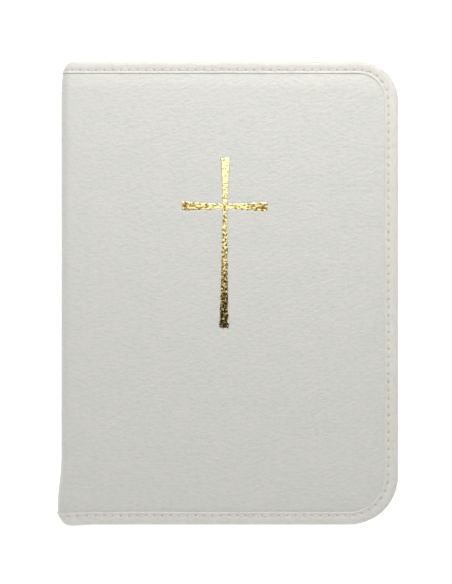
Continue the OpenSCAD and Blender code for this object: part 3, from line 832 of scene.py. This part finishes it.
class Look:
    """A procedural material. Masks run from 0 to 1, and sizes are in metres."""

    def __init__(self, name, colour, roughness, metallic=0.0, uv=True, **sockets):
        self.material = bpy.data.materials.new(name)
        self.material.use_nodes = True
        self.nodes, self.links = self.material.node_tree.nodes, self.material.node_tree.links
        self.shader = next(n for n in self.nodes if n.type == "BSDF_PRINCIPLED")
        named = {key.replace("_", " "): value for key, value in sockets.items()}
        self.set(self.shader, Metallic=metallic, **named)
        self.colour, self.roughness, self.normal = linear(*colour), roughness, None
        if uv:
            self.place = self.node("ShaderNodeUVMap", uv_map="panel").outputs[0]
        else:
            self.place = self.node("ShaderNodeTexCoord").outputs["Object"]

    def set(self, node, **inputs):
        for key, value in inputs.items():
            self.plug(node.inputs[key], value)

    def plug(self, socket, value):
        if isinstance(value, bpy.types.NodeSocket):
            self.links.new(value, socket)
        else:
            socket.default_value = value

    def node(self, kind, inputs=None, **attributes):
        made = self.nodes.new(kind)
        for key, value in attributes.items():
            setattr(made, key, value)
        for key, value in (inputs or {}).items():
            self.plug(made.inputs[key], value)
        return made

    def spread(self, stretch=(1, 1, 1), turn=0.0):
        """The surface's coordinates, turned and then scaled."""
        turned = self.node("ShaderNodeMapping", {"Vector": self.place, "Rotation": (0, 0, turn)})
        return self.node("ShaderNodeMapping", {"Vector": turned.outputs[0], "Scale": stretch}).outputs[0]

    def noise(self, size, detail=2.0, stretch=(1, 1, 1), turn=0.0):
        return self.node("ShaderNodeTexNoise", {"Vector": self.spread(stretch, turn), "Scale": 1 / size,
                                                "Detail": detail}).outputs[0]

    def cells(self, size, stretch=(1, 1, 1)):
        made = self.node("ShaderNodeTexVoronoi", {"Vector": self.spread(stretch), "Scale": 1 / size},
                         feature="SMOOTH_F1")
        return made.outputs["Distance"]

    def lines(self, pitch, direction="X", distort=0.0):
        """Even ridges square to an axis. A wave texture repeats every pi / 10 of its own unit."""
        return self.node("ShaderNodeTexWave", {"Vector": self.place, "Scale": math.pi / (10 * pitch),
                                               "Distortion": distort, "Detail": 1.0},
                         bands_direction=direction).outputs["Fac"]

    def part(self, value, lo, hi, out_lo=0.0, out_hi=1.0):
        made = self.node("ShaderNodeMapRange", {"Value": value, "From Min": lo, "From Max": hi,
                                                "To Min": out_lo, "To Max": out_hi}, clamp=True)
        return made.outputs[0]

    def times(self, a, b, operation="MULTIPLY"):
        made = self.node("ShaderNodeMath", {0: a, 1: b}, operation=operation)
        return made.outputs[0]

    def tint(self, mask, colour, amount=1.0):
        """Blends a colour in where the mask is 1."""
        fac = self.times(mask, amount) if amount != 1 else mask
        made = self.node("ShaderNodeMix", data_type="RGBA")
        self.plug(made.inputs[0], fac)
        self.plug(made.inputs[6], self.colour)
        self.plug(made.inputs[7], linear(*colour))
        self.colour = made.outputs[2]
        return self

    def stain(self, size, detail, lo, hi, colour, amount, stretch=(1, 1, 1)):
        """Blends a colour in where a noise lies past lo, and fully at hi."""
        return self.tint(self.part(self.noise(size, detail, stretch), lo, hi), colour, amount)

    def rough(self, mask, lo, hi):
        self.roughness = self.part(mask, 0.25, 0.75, lo, hi)
        return self

    def bump(self, height, depth, strength=1.0):
        inputs = {"Height": height, "Distance": depth, "Strength": strength}
        if self.normal is not None:
            inputs["Normal"] = self.normal
        self.normal = self.node("ShaderNodeBump", inputs).outputs[0]
        return self

    def done(self):
        self.plug(self.shader.inputs["Base Color"], self.colour)
        self.plug(self.shader.inputs["Roughness"], self.roughness)
        if self.normal is not None:
            self.plug(self.shader.inputs["Normal"], self.normal)
        return self


def leather_look(name, colour, warm, roughness=0.46, shade_holes=False):
    """Coated imitation leather: a fine pebble, cross ripples, faint soiling, and painted shade in the
    grain's hollows.
    """
    look = Look(name, colour, roughness, Coat_Weight=0.12, Coat_Roughness=0.35)
    pebble = look.cells(0.5 * MM, stretch=(0.7, 1, 1))
    ripple = look.noise(1.1 * MM, 3.0, stretch=(0.5, 1, 1))
    swell = look.noise(7 * MM, 3.0, stretch=(0.8, 1, 1))
    fine = look.noise(0.16 * MM, 2.0)
    slant = look.noise(1.1 * MM, 3.0, stretch=(0.16, 1, 1), turn=-0.55)
    look.tint(look.part(swell, 0.35, 0.65), warm, 0.6)
    # Painted shade: the pebble's cell borders and the ripples' troughs are darkened
    look.tint(look.part(pebble, 0.35, 0.75), (178, 177, 168), 0.14)
    look.tint(look.part(ripple, 0.52, 0.3), (190, 189, 182), 0.25)
    look.stain(0.9 * MM, 1.0, 0.72, 0.8, (176, 170, 152), 0.18)
    if shade_holes:
        # Painted shade darkens the strip round each needle hole
        mark = look.node("ShaderNodeAttribute", attribute_name="hole").outputs["Fac"]
        look.tint(look.part(mark, 0.2, 0.7), (140, 134, 120), 0.42)
    look.rough(look.noise(2.6 * MM, 2.0), roughness - 0.07, roughness + 0.09)
    look.bump(swell, 0.07 * MM)
    look.bump(ripple, 0.16 * MM)
    look.bump(slant, 0.16 * MM)
    look.bump(pebble, 0.06 * MM, 0.8)
    look.bump(fine, 0.012 * MM)
    return look.done()


def cloth_look(name, colour, other, pitch, roughness=0.8, uv=True, depth=0.08 * MM):
    """A plain weave of threads at the given pitch, with painted shade in the gaps between the threads."""
    look = Look(name, colour, roughness, uv=uv, Sheen_Weight=0.15)
    warp, weft = look.lines(pitch, "X", 0.4), look.lines(pitch, "Y", 0.4)
    weave = look.times(warp, weft, "MAXIMUM")
    # Painted shade in the gaps between the threads
    look.tint(look.part(weave, 0.75, 0.2), other, 0.6)
    look.stain(4 * MM, 3.0, 0.45, 0.7, other, 0.25)
    look.rough(look.noise(1.5 * MM), roughness - 0.08, roughness + 0.08)
    look.bump(weave, depth)
    look.bump(look.noise(0.25 * MM, 3.0), depth * 0.3)
    return look.done()


def plain_look(name, colour, stains, rough, bump, uv=False, **sockets):
    """A surface of a few noises. Each stain is what Look.stain takes.

    rough is the size, detail, least and most roughness, and bump the size, detail, depth and stretch."""
    look = Look(name, colour, 0.5, uv=uv, **sockets)
    for stain in stains:
        look.stain(*stain)
    look.rough(look.noise(*rough[:2]), *rough[2:])
    look.bump(look.noise(bump[0], bump[1], *bump[3:]), bump[2])
    return look.done()


def paper_look(name, colour, uv=True):
    fibres = (0.5 * MM, 3.0, 0.6, 0.75, (214, 204, 180), 0.3, (1, 0.3, 1))
    return plain_look(name, colour, ((9 * MM, 4.0, 0.4, 0.7, (226, 214, 186), 0.35), fibres),
                      (2 * MM, 2.0, 0.66, 0.8), (0.35 * MM, 4.0, 0.02 * MM), uv)


def metal_look(name, colour, dark):
    """Polished plating with fine scuffs, a little duller in patches."""
    along = (0.15, 1, 1)
    scuffs = (0.25 * MM, 2.0, 0.62, 0.75, dark, 0.3, along)
    return plain_look(name, colour, ((1.6 * MM, 4.0, 0.5, 0.75, dark, 0.22), scuffs),
                      (0.6 * MM, 4.0, 0.15, 0.34), (0.4 * MM, 4.0, 0.006 * MM, along), metallic=1.0)


def board_look(name):
    flecks = (0.7 * MM, 4.0, 0.5, 0.7, (104, 90, 70), 0.6, (1, 0.4, 1))
    return plain_look(name, (148, 132, 108), (flecks,), (1 * MM, 2.0, 0.78, 0.92),
                      (0.4 * MM, 4.0, 0.06 * MM))


def foam_look(name):
    look = Look(name, (226, 220, 200), 0.9, uv=False)
    # Painted shade in the foam's pores
    look.tint(look.part(look.cells(0.6 * MM), 0.5, 0.2), (180, 172, 146), 0.6)
    look.rough(look.noise(1 * MM), 0.84, 0.95)
    look.bump(look.cells(0.6 * MM), 0.2 * MM)
    return look.done()


def thread_look(name, colour):
    """Twisted sewing thread: slanting plies, with painted shade in the grooves between them."""
    look = Look(name, colour, 0.55, Sheen_Weight=0.2)
    plies = look.node("ShaderNodeTexWave", {"Vector": look.spread(turn=0.9),
                                            "Scale": math.pi / (10 * 0.42 * MM)}).outputs["Fac"]
    # Painted shade in the grooves between the plies
    look.tint(look.part(plies, 0.5, 0.1), (170, 164, 150), 0.35)
    look.stain(3 * MM, 2.0, 0.5, 0.7, (232, 228, 216), 0.4)
    look.rough(look.noise(0.7 * MM), 0.48, 0.64)
    look.bump(plies, 0.05 * MM)
    return look.done()


def coil_look(name):
    return plain_look(name, (232, 231, 224), ((1.6 * MM, 3.0, 0.45, 0.7, (206, 203, 190), 0.5),),
                      (0.5 * MM, 3.0, 0.22, 0.4), (0.3 * MM, 3.0, 0.012 * MM), uv=True, Coat_Weight=0.3)


def gilt_look(name):
    """Gilded leaf edges: fine lines of painted shade between the leaves, with the gold rubbed thin in
    places.
    """
    look = Look(name, (232, 200, 122), 0.36, 0.7)
    leaves = look.lines(0.28 * MM, "Y", 0.6)
    # Painted shade in the gaps between the leaves
    look.tint(look.part(leaves, 0.4, 0.1), (176, 136, 66), 0.45)
    look.stain(5 * MM, 4.0, 0.55, 0.75, (232, 214, 160), 0.5, (0.4, 2, 1))
    look.rough(look.noise(1.2 * MM, 3.0, stretch=(0.3, 1, 1)), 0.26, 0.48)
    look.bump(leaves, 0.05 * MM)
    look.bump(look.noise(0.4 * MM, 3.0), 0.02 * MM)
    return look.done()


def band_look(name):
    """Gold and white silk in even stripes round the band, with painted shade between the threads."""
    look = Look(name, (236, 230, 212), 0.45, Sheen_Weight=0.3)
    look.tint(look.part(look.lines(1.4 * MM, "X"), 0.45, 0.55), (196, 152, 66))
    thread = look.lines(0.2 * MM, "X", 0.2)
    # Painted shade between the threads
    look.tint(look.part(thread, 0.4, 0.1), (120, 96, 50), 0.35)
    look.rough(look.noise(0.6 * MM), 0.38, 0.55)
    look.bump(thread, 0.05 * MM)
    return look.done()


def ribbon_look(name):
    """Satin: long floats along the ribbon, and a corded edge."""
    look = Look(name, (212, 172, 92), 0.36, Anisotropic=0.5, Sheen_Weight=0.3)
    weft = look.lines(0.16 * MM, "Y", 0.3)
    look.stain(0.5 * MM, 2.0, 0.4, 0.7, (176, 134, 60), 0.5, (4, 0.3, 1))
    look.rough(look.noise(1.5 * MM, 2.0), 0.3, 0.46)
    look.bump(weft, 0.03 * MM)
    return look.done()


def foil_look(name):
    """Stamped foil on a grained ground: pale gold at the head, and darker and more broken to the foot,
    which is a painted reflection.
    """
    look = Look(name, (255, 250, 190), 0.3, 0.92)
    rim = look.node("ShaderNodeAttribute", attribute_name="rim").outputs["Fac"]
    place = look.node("ShaderNodeSeparateXYZ", {0: look.place})
    low, high = CROSS_Y + CROSS_ABOVE - CROSS_H, CROSS_Y + CROSS_ABOVE
    # up runs from the cross's foot to its head; the tints below use it to paint a reflection that darkens
    # towards the foot
    up = look.part(place.outputs[1], low, high)
    sideways = look.times(look.times(place.outputs[0], CROSS_X, "SUBTRACT"), 0, "ABSOLUTE")
    outwards = look.part(sideways, 3 * MM, 13 * MM, 0.0, 0.07)
    grain = look.noise(0.85 * MM, 3.0, stretch=(0.7, 1, 1))
    fleck = look.noise(0.4 * MM, 2.0)
    mixed = look.times(look.times(grain, 0.65), look.times(fleck, 0.35), "ADD")
    breakup_outwards = look.times(mixed, outwards, "SUBTRACT")
    # Duller gold, bare brown and dark hollows painted as shade, each more common towards the foot, where
    # the darkening is a painted reflection
    for source, top, head, foot, soft, colour, amount in (
            (breakup_outwards, (0.0, 1.0), 0.43, 0.63, (0.03, -0.03), (190, 160, 84), 0.9),
            (breakup_outwards, (0.0, 1.0), 0.34, 0.59, (0.02, -0.02), (116, 90, 46), 0.9),
            (mixed, (0.05, 0.75), 0.26, 0.54, (0.01, -0.015), (30, 21, 12), 0.94)):
        level = look.times(source, look.part(up, *top, foot, head), "SUBTRACT")
        look.tint(look.part(level, *soft), colour, amount)
    look.tint(look.part(fleck, 0.64, 0.68), (255, 250, 196), 0.85)
    edge = look.times(rim, look.times(mixed, 2.2), "ADD")
    look.tint(look.part(edge, 1.75, 1.95), (240, 236, 206), 0.85)
    look.rough(fleck, 0.24, 0.5)
    look.bump(grain, 0.07 * MM)
    look.bump(look.noise(1.1 * MM, 3.0, stretch=(0.5, 1, 1)), 0.08 * MM)
    return look.done()


look_cover = leather_look("cover leather", (209, 210, 206), (214, 211, 205))
look_binding = leather_look("binding leather", (219, 217, 212), (215, 211, 204), 0.42, shade_holes=True)
look_thread = thread_look("sewing thread", (224, 220, 210))
look_lining = cloth_look("lining cloth", (228, 222, 204), (196, 188, 164), 0.45 * MM)
look_tape = cloth_look("zip tape", (226, 224, 214), (192, 188, 174), 0.6 * MM, 0.75, depth=0.12 * MM)
look_mull = cloth_look("spine cloth", (232, 226, 208), (188, 178, 150), 0.8 * MM)
look_coil = coil_look("nylon teeth")
look_metal = metal_look("gold plating", (214, 182, 120), (150, 114, 62))
look_board = board_look("grey board")
look_foam = foam_look("foam")
look_page = paper_look("page paper", (238, 231, 211))
look_endpaper = paper_look("endpaper", (240, 235, 220), uv=False)
look_gilt = gilt_look("gilt edges")
look_band = band_look("striped band")
look_ribbon = ribbon_look("satin ribbon")
look_foil = foil_look("gold foil")


def dress(piece, look):
    piece.data.materials.clear()
    piece.data.materials.append(look.material)
    return piece


# ---------- the case ----------

LINING_INSET = 4.6 * MM
LINING_LOW, LINING_TOP = (corner.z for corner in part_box("front_lining"))
LINING_SPINE = 1.35 * MM               # the lining's depth on the spine


def lining_height(a, y):
    """On the board inside, rising at its edge to the strip."""
    share = smooth(SPINE_FLAT + BEND_R, A_FACE + 4 * MM, a)
    edge = smooth(LINING_INSET, LINING_INSET + 1.5 * MM, edge_distance(a, y))
    depth = THICK - LINING_TOP - 0.7 * MM * (1 - edge)
    return -LINING_SPINE - (depth - LINING_SPINE) * share


def fit(piece, side, look, slot, node, *spine_nodes):
    """Dresses a piece and bakes its transform. The front's piece stands for the spine's nodes too."""
    bend_with_case(dress(piece, look), side == "back")
    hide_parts(f"{side}_{node}", *(spine_nodes if side == "front" else ()))
    return piece


for side, mirrored, seed in (("front", False, FRONT_SEED), ("back", True, BACK_SEED)):
    cover = panel_piece(f"{side}_padded_cover", *panel_grid(PANEL_MARGIN),
                        lambda a, y: leather_height(a, y, seed, side == "front"), LEATHER_T, mirrored)
    fit(cover, side, look_cover, "cover_leather", "leather", "spine_leather")
    strip = binding(f"{side}_sewn_binding", mirrored, seed + 1)
    fit(strip, side, look_binding, "binding_leather", "binding",
        "spine_head_binding", "spine_tail_binding")
    sewing = stitches(f"{side}_sewn_stitches", mirrored, seed + 2)
    fit(sewing, side, look_thread, "thread", "stitching", "spine_stitching")
    cloth = panel_piece(f"{side}_lining_cloth", *panel_grid(LINING_INSET, fine=False), lining_height,
                        LINING_TOP - LINING_LOW, mirrored)
    fit(cloth, side, look_lining, "lining", "lining", "spine_lining")

    tape = dress(zip_tape(f"{side}_woven_tape", mirrored), look_tape)
    teeth = dress(zip_coil(f"{side}_nylon_teeth", mirrored), look_coil)
    for piece, node in ((tape, f"{side}_zip_tape"), (teeth, f"{side}_zip_coil")):
        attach(piece, f"{side}_cover")
        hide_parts(node)

    page_block(f"{side}_leaves", mirrored)
    spine_cloth(f"{side}_mull", side)
    for end in ("head", "tail"):
        band(f"{end}_{side}_striped_band", side, end)

for hand in ("right", "left"):
    leaf(f"turning_leaf_{hand}", f"loose_leaf_{hand}")

foil = dress(cross_foil("stamped_gold_cross"), look_foil)
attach(foil, "front_cover")
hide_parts("gold_cross")

low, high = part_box("ribbon_marker")
marker = thin_sheet("satin_marker", np.linspace(low.x, high.x, 13), np.linspace(low.y, high.y, 120),
                    (low.z + high.z) / 2, 0.16 * MM, 0.03 * MM, 71)
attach(dress(marker, look_ribbon), "pages_back_inner")
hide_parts("ribbon_marker")


# ---------- CAD pieces that keep their shape ----------

kept = {"foam": look_foam, "board": look_board, "spine_card": look_board, "pastedown": look_endpaper,
        "flyleaf": look_endpaper, "stop": look_metal, "slider": look_metal, "zip_pull": look_metal}
for name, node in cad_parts.items():
    for key, look in kept.items():
        if key in name:
            node.data.materials.clear()
            node.data.materials.append(look.material)
            if look is look_metal:
                add_modifier(node, "BEVEL", width=0.16 * MM, segments=3, limit_method="ANGLE",
                             angle_limit=math.radians(40), use_clamp_overlap=True)
                add_modifier(node, "WEIGHTED_NORMAL", keep_sharp=True)


# ---------- floor, light and camera ----------

def studio():
    reach = 3
    corners = [(-reach, -reach, 0), (reach, -reach, 0), (reach, reach, 0), (-reach, reach, 0)]
    floor = make_object("floor", corners, [(0, 1, 2, 3)], shade=False)
    floor.location.z = cad_box[0].z - 0.3 * MM
    paper = Look("studio paper", (205, 205, 204), 0.9, uv=False, Emission_Strength=0.72)
    paper.set(paper.shader, **{"Emission Color": (1, 1, 1, 1)})
    paper.bump(paper.noise(40 * MM, 2.0), 0.05 * MM)
    paper.rough(paper.noise(60 * MM), 0.86, 0.94)
    floor.data.materials.append(paper.done().material)

    def softbox(name, place, aim, size, power, colour=(1, 1, 1)):
        light = bpy.data.lights.new(name, "AREA")
        light.shape, light.size, light.size_y = "RECTANGLE", size[0], size[1]
        light.energy, light.color = power, colour
        lamp = bpy.data.objects.new(name, light)
        bpy.context.scene.collection.objects.link(lamp)
        lamp.location = place
        away = np.array(place) - np.array(aim)
        lamp.rotation_euler = (math.atan2(math.hypot(away[0], away[1]), away[2]), 0,
                               math.atan2(away[0], -away[1]) if any(away[:2]) else 0)

    softbox("head light", (0.05, 0.36, 0.42), (0.0, 0.02, 0.02), (0.4, 0.26), 2.35, (1.0, 0.985, 0.965))
    softbox("top light", (0.0, 0.22, 1.2), (0, 0.1, 0), (1.0, 0.45), 1.7, (1.0, 1.0, 0.99))
    softbox("tail light", (-0.15, -0.62, 0.2), (0, 0, 0.02), (0.7, 0.3), 1.5, (0.97, 1.0, 1.0))
    world = bpy.data.worlds.new("studio air")
    world.use_nodes = True
    tree = world.node_tree
    air = next(n for n in tree.nodes if n.type == "BACKGROUND")
    # The studio's walls are brighter than its ceiling
    upwards = tree.nodes.new("ShaderNodeSeparateXYZ")
    tree.links.new(tree.nodes.new("ShaderNodeTexCoord").outputs["Generated"], upwards.inputs[0])
    wall = tree.nodes.new("ShaderNodeMapRange")
    for socket, value in (("From Min", 0.02), ("From Max", 0.45), ("To Min", 0.9), ("To Max", 0.24)):
        wall.inputs[socket].default_value = value
    tree.links.new(upwards.outputs["Z"], wall.inputs["Value"])
    tree.links.new(wall.outputs[0], air.inputs["Strength"])
    air.inputs["Color"].default_value = (0.99, 1.0, 1.0, 1.0)
    bpy.context.scene.world = world
    bpy.context.scene.view_settings.view_transform = "Standard"


def camera():
    lens = bpy.data.cameras.new("camera")
    lens.lens, lens.sensor_width = 100, 36
    lens.clip_start = 0.01
    eye = bpy.data.objects.new("camera", lens)
    bpy.context.scene.collection.objects.link(eye)
    seen_height = 201.4 * MM          # of the case's edge plane, from the top of the frame to the bottom
    distance = seen_height * lens.lens / lens.sensor_width
    eye.location = (-1.24 * MM, 0.36 * MM, RIM_Z + distance)
    bpy.context.scene.camera = eye


studio()
camera()
